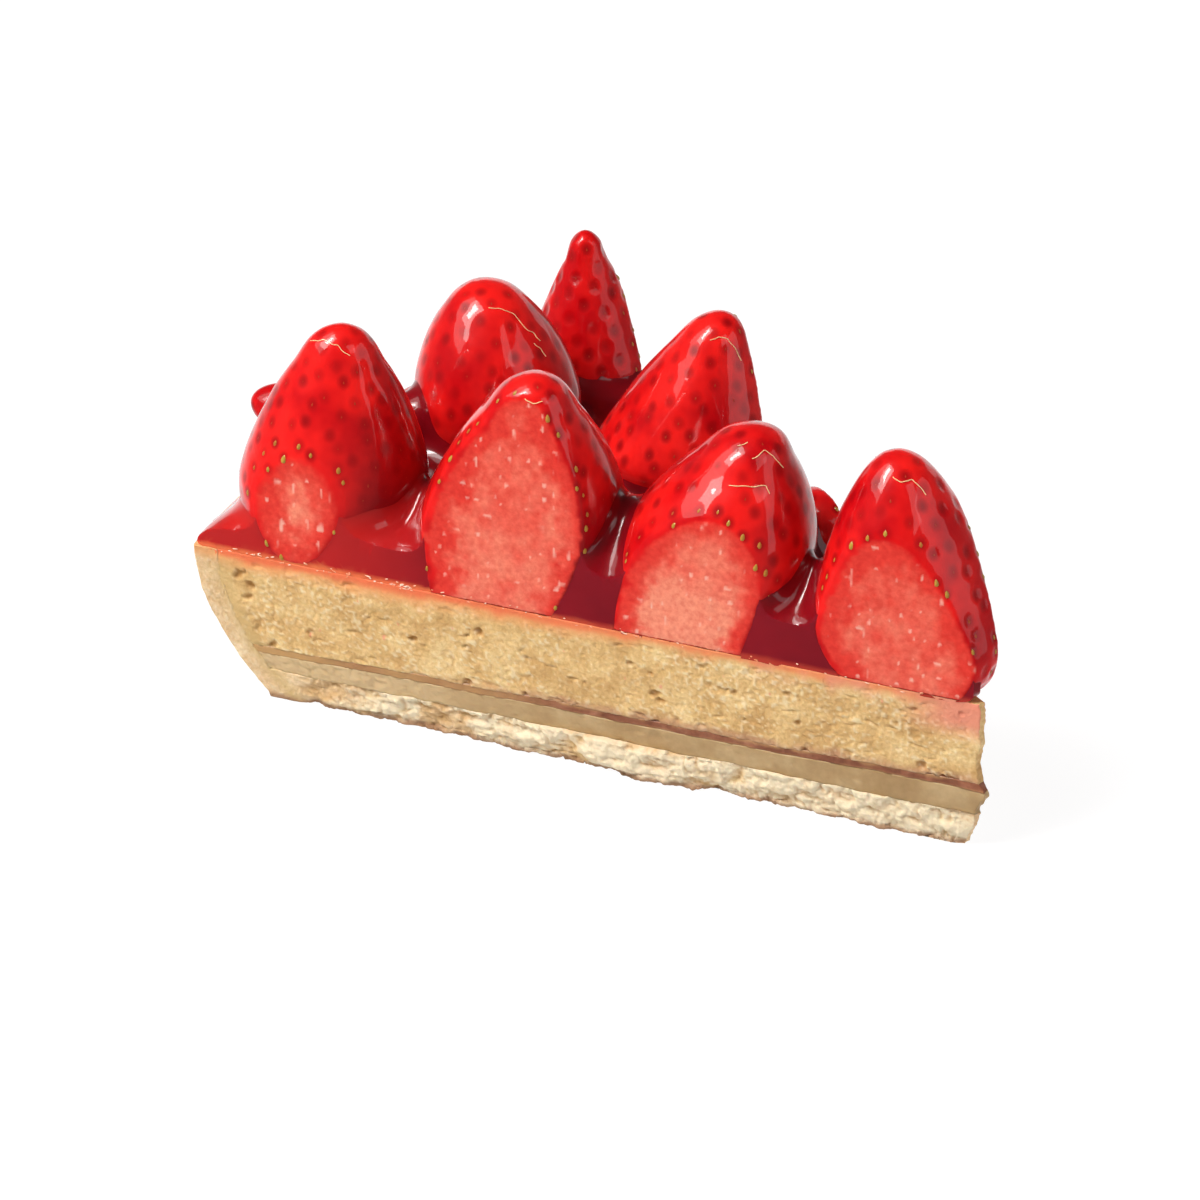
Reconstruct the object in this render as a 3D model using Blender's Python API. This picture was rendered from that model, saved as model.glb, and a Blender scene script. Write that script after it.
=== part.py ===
"""A cut slice of a glazed strawberry tart, in metres, +Z up, resting on its flat base.

The tip of the wedge points along +X and the rim is at -X. The near cut faces -Y.
A place on the slice is given by two distances: along the near cut from the tip,
and inward from that cut, square to it.
"""

import math

import bmesh
import bpy
from mathutils import Matrix, Vector, noise

MM = 0.001
GAP = 0.3 * MM  # kept between pieces that touch

# The wedge
TART_RADIUS = 125 * MM  # a 25 cm tart, measured at its top edge
WEDGE_ANGLE = math.radians(40)
TIP_X = 63.0 * MM  # puts the slice's bounding box over the origin
TIP_Y = 0.0 * MM
TIP_START = 1.6 * MM  # the tip is blunt from here
CAKE_TOP = 24.8 * MM
RIM_UNDERCUT = 12 * MM  # how much smaller the tart is at its base
RIM_CURVE = 1.9
CUT_STEPS = 10  # divisions from the near cut to the far cut
CRUST_BASE_COLUMNS, CRUST_WALL_COLUMNS = 84, 16
CRUST_ROWS = 5
RAGGED_FROM = 12 * MM  # the cut faces are less uneven nearer the tip than this
CALM_SHARE = 0.15  # and the rim's cut side has only this share of the unevenness
RIM_LUMP, RIM_LUMP_SIZE = 0.5 * MM, 6 * MM  # the rim's outside

# The layers at the cut, by height above the base
BASE_AT_TIP, BASE_AT_RIM = 5.8 * MM, 4.9 * MM
SEAM_AT_TIP, SEAM_AT_RIM = 10.2 * MM, 8.3 * MM
JAM_THICK = 1.1 * MM
WALL_THICK = 4.2 * MM  # the crust's upright side

# The glaze pool
POOL_START = 18 * MM  # inside the berry at the tip
POOL_THICK = 3.2 * MM
POOL_RIM_THICK = 0.9 * MM
POOL_SETBACK = 0.7 * MM  # from the rim's edge
POOL_TAPER = 14 * MM  # the pool thins over this length before the rim

OVAL_BEARING = math.radians(40.5)  # an oval berry is wide along this bearing from +X
BERRY_SIDES = 26
BERRY_RINGS = 15
FOOT_SHARE = 0.74  # a berry's radius at its cut stem end, against its widest
LUMPS = 0.025  # unevenness of a berry's outline, as a share of its radius
LUMPS_AROUND, LUMPS_UP = 1.3, 2.2  # how many lumps there are
RING_CROWDING = 1.5  # rings lie closer towards the berry's tip

# name: foot along, foot inward, tip along, tip inward, height, radius (mm),
# where it is widest, roundness of the shoulder, taper, depth against width
STANDING_BERRIES = {
    "strawberry_rim_front": (106.6, 11.2, 103.8, 10.8, 36.1, 14.3, 0.30, 1.40, 0.69, 0.80),
    "strawberry_front_tall": (77.7, 12.7, 70.9, 3.9, 37.9, 15.2, 0.29, 1.43, 0.68, 1.0),
    "strawberry_front_round": (47.9, 9.6, 40.1, 11.4, 31.6, 14.4, 0.33, 1.66, 0.72, 1.0),
    "strawberry_tip": (14.1, 7.6, 17.9, 8.9, 33.5, 14.4, 0.22, 1.11, 0.54, 1.0),
    "strawberry_rim_middle": (90.6, 41.0, 93.7, 42.0, 28.8, 12.8, 0.35, 1.61, 0.57, 1.0),
    "strawberry_back_middle": (62.3, 42.0, 56.5, 43.0, 30.2, 13.9, 0.28, 1.0, 0.60, 1.0),
    "strawberry_rim_back": (85.7, 66.0, 86.6, 66.0, 26.8, 10.0, 0.22, 0.98, 0.75, 1.0),
    "strawberry_far_small": (35.6, 28.6, 35.0, 28.2, 12.0, 7.4, 0.40, 2.0, 0.60, 1.0),
}
LYING_BERRY = "strawberry_rim_lying"
LYING_PLACE = (114.6, 27.4)  # along, inward, mm
LYING_LENGTH, LYING_RADIUS = 24 * MM, 6.8 * MM
LYING_RISE = math.radians(-16)  # its tip is the higher end
LYING_FORM = (0.36, 1.5, 0.6)  # widest, shoulder, taper
LYING_SIDES, LYING_RINGS = 14, 8
FAR_OVERHANG = {"strawberry_tip": 3.5 * MM}  # this one was cut a little past the far cut

SOCKET_EXTRA = 1.4 * GAP  # a berry's socket in the pool is this much wider
SOCKET_DROP = 2 * MM  # and reaches this far below the pool
SLAB_SIZE = 400 * MM  # the blocks that cut the berries

COLOURS = {  # red, green, blue, roughness
    "pastry": (0.72, 0.52, 0.30, 0.75),
    "moist_layer": (0.55, 0.36, 0.19, 0.45),
    "jam": (0.33, 0.09, 0.05, 0.40),
    "cake": (0.76, 0.53, 0.27, 0.80),
    "glaze": (0.35, 0.01, 0.015, 0.08),
    "strawberry": (0.62, 0.02, 0.015, 0.15),
}


def clearScene():
    for old in list(bpy.data.objects):
        bpy.data.objects.remove(old, do_unlink=True)


def newCollection(name):
    made = bpy.data.collections.new(name)
    bpy.context.scene.collection.children.link(made)
    return made


def material(name):
    found = bpy.data.materials.get(name)
    if found:
        return found
    made = bpy.data.materials.new(name)
    made.use_nodes = True
    shader = made.node_tree.nodes["Principled BSDF"]
    red, green, blue, rough = COLOURS[name]
    shader.inputs["Base Color"].default_value = (red, green, blue, 1)
    shader.inputs["Roughness"].default_value = rough
    shader.inputs["Metallic"].default_value = 0
    return made


def newObject(name, bm, collection, look):
    mesh = bpy.data.meshes.new(name)
    bmesh.ops.recalc_face_normals(bm, faces=bm.faces)
    bm.to_mesh(mesh)
    bm.free()
    mesh.materials.append(material(look))
    made = bpy.data.objects.new(name, mesh)
    collection.objects.link(made)
    return made


def blend(low, high, share):
    return low + (high - low) * share


def fromNearCut(along, inward, height):
    half = WEDGE_ANGLE / 2
    near = Vector((-math.cos(half), -math.sin(half), 0))
    across = Vector((-math.sin(half), math.cos(half), 0))
    return Vector((TIP_X, TIP_Y, height)) + along * near + inward * across


def rimRadius(height):
    return TART_RADIUS - RIM_UNDERCUT * max(0, 1 - height / CAKE_TOP) ** RIM_CURVE


def baseTop(radius):
    return blend(BASE_AT_TIP, BASE_AT_RIM, radius / TART_RADIUS)


def seamHeight(radius):
    return blend(SEAM_AT_TIP, SEAM_AT_RIM, radius / TART_RADIUS)


def innerWall(height):
    return rimRadius(height) - WALL_THICK


def spinStrip(lower, upper, columns, rows):
    """A wedge piece: a grid between two radius and height curves, spun from cut to cut."""
    bm = bmesh.new()
    bmesh.ops.create_grid(bm, x_segments=columns, y_segments=rows, size=0.5)
    for vert in bm.verts:
        share, level = vert.co.x + 0.5, vert.co.y + 0.5
        low, high = lower(share), upper(share)
        radius, height = blend(low[0], high[0], level), blend(low[1], high[1], level)
        vert.co = fromNearCut(radius, 0, height)
    bmesh.ops.spin(
        bm,
        geom=bm.verts[:] + bm.edges[:] + bm.faces[:],
        cent=(TIP_X, TIP_Y, 0),
        axis=(0, 0, -1),
        angle=WEDGE_ANGLE,
        steps=CUT_STEPS,
        use_duplicate=False,
    )
    return bm


def turnOf(point):
    """How far a point is turned from the near cut, as a share of the wedge's angle."""
    angle = math.atan2(TIP_Y - point.y, TIP_X - point.x)
    return (WEDGE_ANGLE / 2 - angle) / WEDGE_ANGLE


def crumbledTip(height):
    """How far the blunt tip stands out: a lip at the seam, and crumbled away below it."""
    lip, lipHeight, lipSpread = 2.0 * MM, 9.4 * MM, 1.6 * MM
    loss, lossHeight = 1.1 * MM, 3.5 * MM
    out = lip * math.exp(-(((height - lipHeight) / lipSpread) ** 2))
    return out - loss * math.exp(-((height / lossHeight) ** 2))


def ragged(bm, depth, alongSize, upSize, seed, bulge=None, calmAbove=CAKE_TOP):
    """Moves the points of both cut faces in and out, as torn pastry and crumb are."""
    half = WEDGE_ANGLE / 2
    facing = (Vector((math.sin(half), -math.cos(half), 0)), Vector((math.sin(half), math.cos(half), 0)))
    for vert in bm.verts:
        share = turnOf(vert.co)
        if 0.001 < share < 0.999:
            continue
        side = 0 if share < 0.5 else 1
        radius = math.hypot(vert.co.x - TIP_X, vert.co.y - TIP_Y)
        if radius < TIP_START + 0.01 * MM:
            vert.co.x += crumbledTip(vert.co.z)
        place = Vector((radius / alongSize, vert.co.z / upSize, seed + 20 * side))
        reach = depth * min(1, radius / RAGGED_FROM)
        reach *= CALM_SHARE if vert.co.z > calmAbove else 1
        push = reach * noise.noise(place)
        if bulge and side == 0:
            push += bulge(radius, vert.co.z)
        vert.co += facing[side] * push


def crustBulge(radius, height):
    """A fold of the base that hangs out of the near cut about half way along it."""
    middle, spread, reach = 56 * MM, 13 * MM, 1.5 * MM
    return reach * math.exp(-(((radius - middle) / spread) ** 2)) * (1 - height / CAKE_TOP)


def crust(parts):
    """The flaky base and the upright side of the pastry shell, bent as one sheet."""
    columns = CRUST_BASE_COLUMNS + CRUST_WALL_COLUMNS
    flat = CRUST_BASE_COLUMNS / columns  # share of the sheet that lies along the base
    corner = innerWall(BASE_AT_RIM)

    def outside(share):
        if share <= flat:
            return blend(TIP_START, rimRadius(0), share / flat), 0
        height = CAKE_TOP * (share - flat) / (1 - flat)
        return rimRadius(height), height

    def inside(share):
        if share <= flat:
            radius = blend(TIP_START, corner, share / flat)
            return radius, baseTop(radius)
        height = blend(BASE_AT_RIM, CAKE_TOP, (share - flat) / (1 - flat))
        return innerWall(height), height

    bm = spinStrip(outside, inside, columns, CRUST_ROWS)
    ragged(bm, 2.8 * MM, 4.6 * MM, 1.3 * MM, 3, crustBulge, BASE_AT_TIP)
    for vert in bm.verts:
        if vert.co.z < 0.01 * MM:
            continue
        radius = math.hypot(vert.co.x - TIP_X, vert.co.y - TIP_Y)
        if radius > rimRadius(vert.co.z) - 1 * MM:
            outward = Vector((vert.co.x - TIP_X, vert.co.y - TIP_Y, 0)).normalized()
            vert.co += outward * RIM_LUMP * (noise.noise(vert.co / RIM_LUMP_SIZE) - 0.5)
    return newObject("pastry_crust", bm, parts, "pastry")


def layer(parts, name, look, low, high, columns, rows, depth, seed):
    """A filling that runs through the slice between two height rules, inside the crust."""

    def edge(height):
        return innerWall(height) - GAP

    def lower(share):
        radius = blend(TIP_START, edge(low(TART_RADIUS)), share)
        return radius, low(radius)

    def upper(share):
        radius = blend(TIP_START, edge(high(TART_RADIUS)), share)
        return radius, high(radius)

    bm = spinStrip(lower, upper, columns, rows)
    ragged(bm, depth, 3.4 * MM, 2.6 * MM, seed)
    return newObject(name, bm, parts, look)


def moistLayer(parts):
    def low(radius):
        return baseTop(radius) + GAP

    def high(radius):
        return seamHeight(radius) - JAM_THICK / 2 - GAP

    return layer(parts, "moist_layer", "moist_layer", low, high, 36, 2, 0.8 * MM, 7)


def jamSeam(parts):
    def low(radius):
        return seamHeight(radius) - JAM_THICK / 2

    def high(radius):
        return seamHeight(radius) + JAM_THICK / 2

    return layer(parts, "jam_seam", "jam", low, high, 30, 1, 0.6 * MM, 11)


def almondCake(parts):
    def low(radius):
        return seamHeight(radius) + JAM_THICK / 2 + GAP

    def high(radius):
        return CAKE_TOP

    return layer(parts, "almond_cake", "cake", low, high, 60, 8, 1.5 * MM, 15)


def berryShare(share, widest, shoulder, taper):
    """A berry's radius at a share of its height, against its widest."""
    if share < widest:
        drop = (1 - FOOT_SHARE**2) * ((widest - share) / widest) ** 2
        return math.sqrt(1 - drop)
    past = (share - widest) / (1 - widest)
    return max(0.0, 1 - past**shoulder) ** taper


def berryBody(sides, rings, height, radius, widest, shoulder, taper, seed):
    """A strawberry standing on its flat stem end, about the Z axis."""
    bm = bmesh.new()
    bmesh.ops.create_uvsphere(bm, u_segments=sides, v_segments=rings, radius=1)
    for vert in bm.verts:
        ring = round(math.acos(max(-1, min(1, -vert.co.z))) / math.pi * rings)
        share = 0 if ring < 2 else 1 - (1 - (ring - 1) / (rings - 1)) ** RING_CROWDING
        angle = math.atan2(vert.co.y, vert.co.x)
        reach = 0 if ring in (0, rings) else radius * berryShare(share, widest, shoulder, taper)
        around = Vector((math.cos(angle), math.sin(angle), LUMPS_UP * share))
        reach *= 1 + LUMPS * noise.noise(around * LUMPS_AROUND + Vector((seed, 0, 0)))
        vert.co = (reach * math.cos(angle), reach * math.sin(angle), height * share)
    return bm


def standingBerry(place, seed, extra=0.0):
    """Its body, leaned from its foot to its tip; extra makes a larger copy to cut with."""
    footAlong, footIn, tipAlong, tipIn, height, radius, widest, shoulder, taper, oval = place
    bm = berryBody(
        BERRY_SIDES, BERRY_RINGS, height * MM, radius * MM + extra, widest, shoulder, taper, seed
    )
    foot = fromNearCut(footAlong * MM, footIn * MM, CAKE_TOP + GAP)
    tip = fromNearCut(tipAlong * MM, tipIn * MM, CAKE_TOP + GAP)
    across = Vector((-math.sin(OVAL_BEARING), math.cos(OVAL_BEARING), 0))
    for vert in bm.verts:
        share = vert.co.z / (height * MM)
        flat = Vector((vert.co.x, vert.co.y, 0))
        flat -= across * flat.dot(across) * (1 - oval)
        vert.co = foot + (tip - foot) * share + flat + Vector((0, 0, vert.co.z))
    return bm


def lyingBerry(seed, extra=0.0):
    """A small berry on its side by the rim, its tip out over the edge."""
    radius = LYING_RADIUS + extra
    bm = berryBody(LYING_SIDES, LYING_RINGS, LYING_LENGTH + 2 * extra, radius, *LYING_FORM, seed)
    turn = Matrix.Rotation(math.pi + OVAL_BEARING, 4, "Z") @ Matrix.Rotation(
        math.pi / 2 + LYING_RISE, 4, "Y"
    )
    middle = Vector((0, 0, LYING_LENGTH / 2 + extra))
    centre = fromNearCut(LYING_PLACE[0] * MM, LYING_PLACE[1] * MM, 0)
    for vert in bm.verts:
        vert.co = centre + turn @ (vert.co - middle)
    lowest = min(vert.co.z for vert in bm.verts)
    for vert in bm.verts:
        vert.co.z += CAKE_TOP + GAP - extra - lowest
    return bm


def slabBeyond(cutters, name, side, beyond):
    """A block whose face lies along a cut, so that it takes off what is past that cut."""
    bm = bmesh.new()
    bmesh.ops.create_cube(bm, size=SLAB_SIZE)
    slab = newObject(name, bm, cutters, "cake")
    half = WEDGE_ANGLE / 2
    facing = Vector((math.sin(half), math.cos(half) * side, 0))
    slab.location = Vector((TIP_X, TIP_Y, SLAB_SIZE / 4)) + facing * (SLAB_SIZE / 2 + beyond)
    slab.rotation_euler.z = math.atan2(facing.y, facing.x)
    return asCutter(slab)


def asCutter(helper):
    helper.hide_render = True
    helper.display_type = "WIRE"
    return helper


def cutWith(piece, cutter):
    cut = piece.modifiers.new("cut by " + cutter.name, "BOOLEAN")
    cut.operation = "DIFFERENCE"
    cut.object = cutter
    cut.solver = "EXACT"


def berries(parts, cutters):
    """All the strawberries, those at a cut sliced flat, and a larger copy of each for the pool."""
    nearSlab = slabBeyond(cutters, "beyond_near_cut", -1, 0)
    farSlab = slabBeyond(cutters, "beyond_far_cut", 1, 0)
    sockets = []
    for seed, (name, place) in enumerate(STANDING_BERRIES.items(), 1):
        berry = newObject(name, standingBerry(place, seed), parts, "strawberry")
        reach = place[5] * MM * (1 + LUMPS)
        if min(place[1], place[3]) * MM < reach:
            cutWith(berry, nearSlab)
        toFar = min(
            along * math.sin(WEDGE_ANGLE) - inward * math.cos(WEDGE_ANGLE)
            for along, inward in (place[0:2], place[2:4])
        )
        if name in FAR_OVERHANG:
            cutWith(berry, slabBeyond(cutters, "beyond_tip_berry", 1, FAR_OVERHANG[name]))
        elif toFar * MM < reach:
            cutWith(berry, farSlab)
        wide = standingBerry(place, seed, SOCKET_EXTRA)
        sockets.append(newObject(name + "_socket", wide, cutters, "glaze"))
    seed = len(STANDING_BERRIES) + 1
    newObject(LYING_BERRY, lyingBerry(seed), parts, "strawberry")
    wide = lyingBerry(seed, SOCKET_EXTRA)
    sockets.append(newObject(LYING_BERRY + "_socket", wide, cutters, "glaze"))
    for socket in sockets:
        for vert in socket.data.vertices:
            if vert.co.z < CAKE_TOP + 2 * GAP:
                vert.co.z -= SOCKET_DROP
        asCutter(socket)
    return sockets


def glazePool(parts, sockets):
    """The set glaze on the cake's top, thinning towards the rim, with a socket for each berry."""
    floor = CAKE_TOP + GAP
    edge = TART_RADIUS - POOL_SETBACK

    def lower(share):
        return blend(POOL_START, edge, share), floor

    def upper(share):
        radius = blend(POOL_START, edge, share)
        fade = min(1, (edge - radius) / POOL_TAPER)
        return radius, floor + blend(POOL_RIM_THICK, POOL_THICK, math.sin(fade * math.pi / 2))

    pool = newObject("glaze_pool", spinStrip(lower, upper, 24, 1), parts, "glaze")
    for socket in sockets:
        cutWith(pool, socket)
    return pool


def main():
    clearScene()
    parts = newCollection("strawberry_tart_slice")
    cutters = newCollection("cutters")
    crust(parts)
    moistLayer(parts)
    jamSeam(parts)
    almondCake(parts)
    sockets = berries(parts, cutters)
    glazePool(parts, sockets)
    for piece in parts.objects:
        smooth = piece.name.startswith("strawberry")
        for face in piece.data.polygons:
            face.use_smooth = smooth


main()
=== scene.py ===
import math
import bmesh
import bpy
import mathutils
import numpy as np
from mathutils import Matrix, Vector


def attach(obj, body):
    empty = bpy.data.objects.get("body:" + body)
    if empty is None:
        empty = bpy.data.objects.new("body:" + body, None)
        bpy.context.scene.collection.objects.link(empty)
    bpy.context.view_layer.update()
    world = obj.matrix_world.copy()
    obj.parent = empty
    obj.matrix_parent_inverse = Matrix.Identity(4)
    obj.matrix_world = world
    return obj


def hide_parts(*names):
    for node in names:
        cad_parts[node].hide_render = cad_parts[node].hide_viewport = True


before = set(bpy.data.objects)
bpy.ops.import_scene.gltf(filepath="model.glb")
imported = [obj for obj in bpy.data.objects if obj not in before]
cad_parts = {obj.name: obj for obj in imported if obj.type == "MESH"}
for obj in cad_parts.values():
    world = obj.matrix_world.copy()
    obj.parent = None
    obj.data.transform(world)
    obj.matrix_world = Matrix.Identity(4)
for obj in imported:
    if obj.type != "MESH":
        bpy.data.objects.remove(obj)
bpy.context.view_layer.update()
mm = 0.001

# the wedge, as the solids have it
slab = {
    "tipX": 63.0 * mm,
    "angle": math.radians(40),
    "radius": 125 * mm,
    "cakeTop": 24.8 * mm,
    "undercut": 12 * mm,
    "rimCurve": 1.9,
    "tipStart": 1.6 * mm,
    "wall": 4.2 * mm,
}
halfAngle = slab["angle"] / 2
cakeTop = slab["cakeTop"]
nearWay = np.array([-math.cos(halfAngle), -math.sin(halfAngle), 0])  # tip to rim along the near cut
nearIn = np.array([-math.sin(halfAngle), math.cos(halfAngle), 0])
farIn = np.array([-math.sin(halfAngle), -math.cos(halfAngle), 0])
tip = np.array([slab["tipX"], 0, 0])


# small helpers

def deselectAll():
    if bpy.context.object and bpy.context.object.mode != "OBJECT":
        bpy.ops.object.mode_set(mode="OBJECT")
    bpy.ops.object.select_all(action="DESELECT")


def pick(piece):
    deselectAll()
    piece.select_set(True)
    bpy.context.view_layer.objects.active = piece


def added(name):
    piece = bpy.context.object
    piece.name = name
    piece.data.name = name
    return piece


def settle(piece):
    pick(piece)
    bpy.ops.object.transform_apply(location=True, rotation=True, scale=True)


def linked(name, data):
    item = bpy.data.objects.new(name, data)
    bpy.context.scene.collection.objects.link(item)
    return item


def faceOutward(piece):
    pick(piece)
    bpy.ops.object.mode_set(mode="EDIT")
    bpy.ops.mesh.select_all(action="SELECT")
    bpy.ops.mesh.normals_make_consistent(inside=False)
    bpy.ops.object.mode_set(mode="OBJECT")


def readPoints(piece):
    flat = np.empty(len(piece.data.vertices) * 3)
    piece.data.vertices.foreach_get("co", flat)
    return flat.reshape(-1, 3)


def writePoints(piece, points):
    piece.data.vertices.foreach_set("co", np.ascontiguousarray(points, np.float32).ravel())
    piece.data.update()


def readNormals(piece):
    flat = np.empty(len(piece.data.vertices) * 3, np.float32)
    piece.data.vertices.foreach_get("normal", flat)
    return flat.reshape(-1, 3).astype(float)


def pointValues(piece, **masks):
    for name, values in masks.items():
        layer = piece.data.attributes.get(name) or piece.data.attributes.new(name, "FLOAT", "POINT")
        layer.data.foreach_set("value", np.ascontiguousarray(values, np.float32))


def applyModifier(piece, kind, **settings):
    pick(piece)
    modifier = piece.modifiers.new(kind.lower(), kind)
    for key, value in settings.items():
        setattr(modifier, key, value)
    bpy.ops.object.modifier_apply(modifier=modifier.name)


def smoothShade(piece):
    pick(piece)
    bpy.ops.object.shade_smooth()


def put(piece, material, slotName, *nodes):
    piece.data.materials.clear()
    piece.data.materials.append(material)
    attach(piece, "root")
    if nodes:
        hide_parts(*nodes)


def copies(name, pattern, blocks):  # one closed shape, copied to each block of points
    faces = [tuple(face.vertices) for face in pattern.data.polygons]
    size = len(pattern.data.vertices)
    starts = range(0, size * len(blocks), size)
    polygons = [tuple(v + start for v in face) for start in starts for face in faces]
    bpy.data.objects.remove(pattern)
    mesh = bpy.data.meshes.new(name)
    mesh.from_pydata([tuple(point) for point in np.concatenate(blocks)], [], polygons)
    piece = linked(name, mesh)
    faceOutward(piece)
    smoothShade(piece)
    return piece


def hashed(cells, seed):
    mixed = np.sin(cells @ np.array([127.1, 311.7, 74.7]) + seed * 53.3) * 43758.5453
    return mixed - np.floor(mixed)


def softNoise(points, size, seed):  # smooth random values from -1 to 1
    place = points / size + seed * 7.77
    cell = np.floor(place)
    part = place - cell
    part = part * part * (3 - 2 * part)
    total = 0
    for corner in np.ndindex(2, 2, 2):
        offset = np.array(corner)
        weight = np.prod(np.where(offset, part, 1 - part), axis=1)
        total = total + weight * hashed(cell + offset, seed)
    return total * 2 - 1


def layered(points, size, seed, octaves=3):
    total, share, amount = 0, 0, 1.0
    for octave in range(octaves):
        total = total + amount * softNoise(points, size / 2**octave, seed + octave)
        share += amount
        amount *= 0.5
    return total / share


def ramp(low, high, values):
    share = np.clip((values - low) / (high - low), 0, 1)
    return share * share * (3 - 2 * share)


def rampMm(low, high, values):  # the same, with its ends in mm
    return ramp(low * mm, high * mm, values)


# camera, light and floor

view = {
    "bearing": 40.49,
    "height": 33.0,
    "distance": 700 * mm,
    "aim": (-73.265 * mm, 0, 12.325 * mm),  # from the tip
    "lens": 137.98,
}


def bearingVector(bearing, height):
    a, e = math.radians(bearing), math.radians(height)
    return Vector((math.sin(a) * math.cos(e), -math.cos(a) * math.cos(e), math.sin(e)))


def aim(item, centre, bearing, height, distance):
    out = bearingVector(bearing, height)
    item.location = centre + out * distance
    item.rotation_euler = out.to_track_quat("Z", "Y").to_euler()


def makeCamera():
    data = bpy.data.cameras.new("camera")
    data.lens = view["lens"]
    data.sensor_width = 36
    data.clip_start = 0.01
    camera = linked("camera", data)
    aim(camera, Vector(tip) + Vector(view["aim"]), view["bearing"], view["height"], view["distance"])
    bpy.context.scene.camera = camera


lamps = {
    # name: bearing, height, distance, width, length, radiance, colour
    "key": (-28, 54, 1.1, 0.42, 0.80, 6.6, (1.0, 0.985, 0.96)),
    "core": (-28, 55, 1.08, 0.17, 0.42, 23.0, (1.0, 0.985, 0.96)),
    "halo": (-40, 47, 1.3, 0.9, 1.1, 2.1, (1.0, 0.96, 0.94)),
    "fill": (80, 40, 1.0, 0.35, 0.4, 1.5, (1.0, 0.95, 0.95)),
    "side": (107, 16, 1.0, 0.78, 0.88, 1.15, (1.0, 0.93, 0.97)),
    "back": (200, 8, 1.3, 1.6, 0.3, 0.9, (1.0, 1.0, 1.0)),
}
room = {
    "horizon": 0.10,
    "above": 0.03,
    "sheet": 0.9,
    "sheetFaces": (40.49, 33.0),
    "floorWhite": 0.14,
    "floorGlow": 0.93,
}


def makeLights():
    for name, (bearing, height, distance, width, length, radiance, colour) in lamps.items():
        data = bpy.data.lights.new(name, "AREA")
        data.shape = "RECTANGLE"
        data.size, data.size_y = width, length
        data.energy = radiance * math.pi * width * length
        data.color = colour
        aim(linked(name, data), Vector((0, 0, 0.03)), bearing, height, distance)
    world = bpy.data.worlds.new("studio")
    bpy.context.scene.world = world
    world.use_nodes = True
    tree = world.node_tree
    way = tree.nodes.new("ShaderNodeTexCoord").outputs["Generated"]
    split, facing = tree.nodes.new("ShaderNodeSeparateXYZ"), tree.nodes.new("ShaderNodeVectorMath")
    tree.links.new(way, split.inputs[0])
    up = split.outputs["Z"]
    glow = colourRamp(tree, up, (0.12, 0.5), (grey(room["horizon"]), grey(room["above"])))
    facing.operation = "DOT_PRODUCT"  # a white sheet under and behind the slice
    tree.links.new(way, facing.inputs[0])
    facing.inputs[1].default_value = -bearingVector(*room["sheetFaces"])
    sheet = colourRamp(tree, facing.outputs["Value"], (0.5, 0.86), (grey(0), grey(room["sheet"])))
    below = colourRamp(tree, up, (0.0, 0.05), (grey(1), grey(0)))
    sheet = mixColour(tree, 1.0, sheet, below, "MULTIPLY")
    glow = mixColour(tree, 1.0, glow, sheet, "ADD")
    tree.links.new(glow, tree.nodes["Background"].inputs["Color"])
    bpy.context.scene.view_settings.view_transform = "Standard"


def makeFloor():
    deselectAll()
    bpy.ops.mesh.primitive_plane_add(size=8, location=(0, 0, -0.0002))
    floor = added("floor")
    settle(floor)
    material, tree, shader = newMaterial("paleFloor")
    tune(tree, shader, {"Base Color": (*grey(room["floorWhite"]), 1), "Roughness": 0.9})
    tune(tree, shader, {"Specular IOR Level": 0.1})
    tune(tree, shader, {"Emission Color": (1, 1, 1, 1), "Emission Strength": room["floorGlow"]})
    floor.data.materials.append(material)
    floor.visible_glossy = False  # the wet glaze shows no milky floor


# materials

def grey(level):
    return (level,) * 3


def newMaterial(name):
    material = bpy.data.materials.new(name)
    material.use_nodes = True
    return material, material.node_tree, material.node_tree.nodes["Principled BSDF"]


def feed(tree, source, socket):  # source is a value or the output of another node
    if isinstance(source, bpy.types.NodeSocket):
        tree.links.new(source, socket)
    else:
        socket.default_value = source


def tune(tree, node, inputs):
    for name, source in inputs.items():
        feed(tree, source, node.inputs[name])


def readValue(tree, name):
    node = tree.nodes.new("ShaderNodeAttribute")
    node.attribute_name = name
    return node.outputs["Fac"]


def colourRamp(tree, source, places, colours):
    node = tree.nodes.new("ShaderNodeValToRGB")
    while len(node.color_ramp.elements) < len(places):
        node.color_ramp.elements.new(0.5)
    for element, place, colour in zip(node.color_ramp.elements, places, colours):
        element.position = place
        element.color = (*colour, 1)
    tree.links.new(source, node.inputs["Fac"])
    return node.outputs["Color"]


def mixColour(tree, share, first, second, kind="MIX"):
    node = tree.nodes.new("ShaderNodeMix")
    node.data_type, node.blend_type = "RGBA", kind
    for source, place in ((share, 0), (first, 6), (second, 7)):
        feed(tree, (*source, 1) if isinstance(source, tuple) else source, node.inputs[place])
    return node.outputs[2]


def mathNode(tree, operation, first, second):
    node = tree.nodes.new("ShaderNodeMath")
    node.operation = operation
    feed(tree, first, node.inputs[0])
    feed(tree, second, node.inputs[1])
    return node.outputs[0]


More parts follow.
